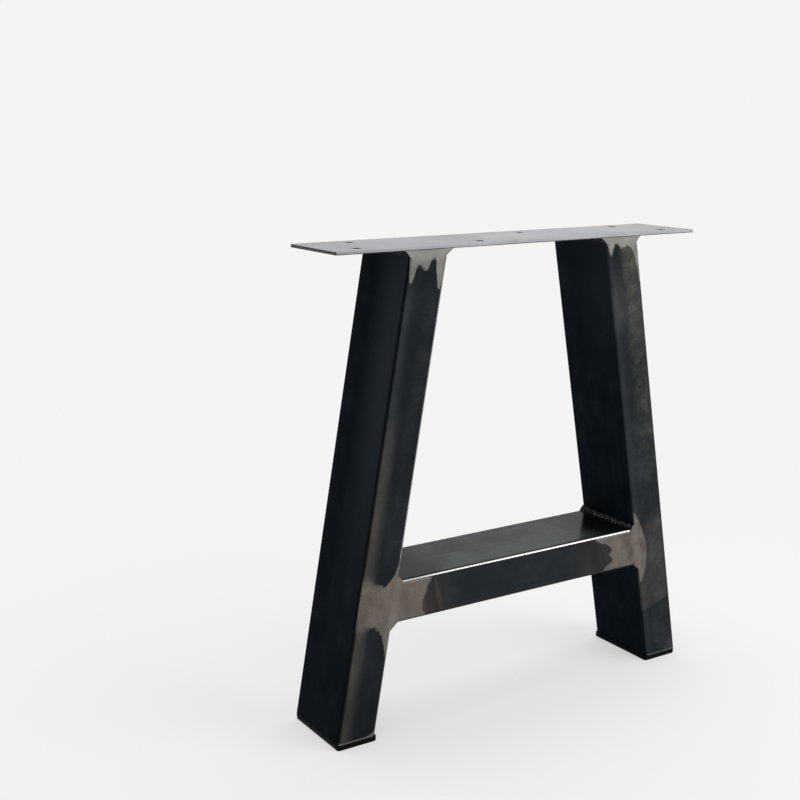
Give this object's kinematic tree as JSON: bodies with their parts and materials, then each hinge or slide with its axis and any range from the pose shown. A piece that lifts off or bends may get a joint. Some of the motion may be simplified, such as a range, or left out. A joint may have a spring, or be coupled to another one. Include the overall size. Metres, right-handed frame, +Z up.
{
  "type": "trestle table leg",
  "caption": "A-shaped steel trestle table leg: leaning rectangular tubes under a drilled flat top plate, joined by a welded crossbar.",
  "frame": {"origin": "on the floor, under the middle of the trestle, midway between front and back", "axes": "+X along the top plate towards the right leg, +Y from front to back, +Z up"},
  "size_m": [0.6554, 0.127, 0.7112],
  "materials": {
    "tube_steel": "hot-rolled steel with dark blue-grey mill scale under a clear coat, ground bright round the welds",
    "plate_steel": "bare flat steel bar under a clear coat, satin",
    "weld_steel": "weld metal, ground flush on the narrow faces, rippled as laid elsewhere",
    "cap_plastic": "black moulded polyethylene, satin"
  },
  "bodies": {
    "root": {"top_plate": "plate_steel", "left_leg": "tube_steel", "right_leg": "tube_steel", "crossbar": "tube_steel", "left_foot_cap": "cap_plastic", "right_foot_cap": "cap_plastic", "left_plate_outer_weld": "weld_steel", "left_plate_inner_weld": "weld_steel", "left_plate_front_weld": "weld_steel", "left_plate_back_weld": "weld_steel", "left_crossbar_top_weld": "weld_steel", "left_crossbar_under_weld": "weld_steel", "left_crossbar_front_weld": "weld_steel", "left_crossbar_back_weld": "weld_steel", "right_plate_outer_weld": "weld_steel", "right_plate_inner_weld": "weld_steel", "right_plate_front_weld": "weld_steel", "right_plate_back_weld": "weld_steel", "right_crossbar_top_weld": "weld_steel", "right_crossbar_under_weld": "weld_steel", "right_crossbar_front_weld": "weld_steel", "right_crossbar_back_weld": "weld_steel"}
  },
  "joints": []
}
